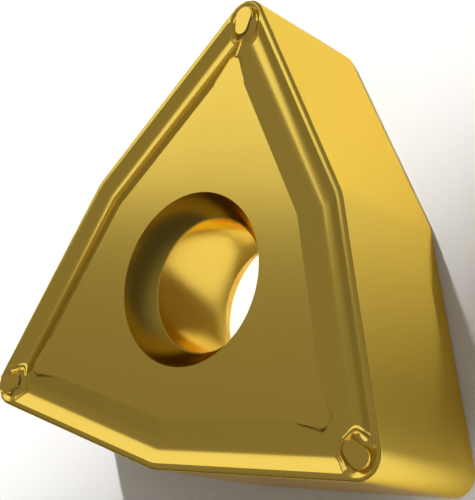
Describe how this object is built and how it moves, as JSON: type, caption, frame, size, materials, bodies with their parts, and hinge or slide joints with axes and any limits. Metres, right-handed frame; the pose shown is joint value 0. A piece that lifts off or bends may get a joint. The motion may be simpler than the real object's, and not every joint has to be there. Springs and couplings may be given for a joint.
{
  "type": "carbide insert",
  "caption": "Double-sided trigon cutting insert with a countersunk through bore, chip grooves round both faces and raised flat seats.",
  "frame": {"origin": "on the bore axis, half way between the two flat seats", "axes": "+Z along the bore axis, out of the seat that faces up; +Y towards one nose; lies on its under seat"},
  "size_m": [0.0174, 0.0163, 0.0058],
  "materials": {
    "coated_carbide": "gold-coloured hard coating on cemented carbide, satin gloss"
  },
  "bodies": {
    "root": {"insert_body": "coated_carbide"}
  },
  "joints": []
}
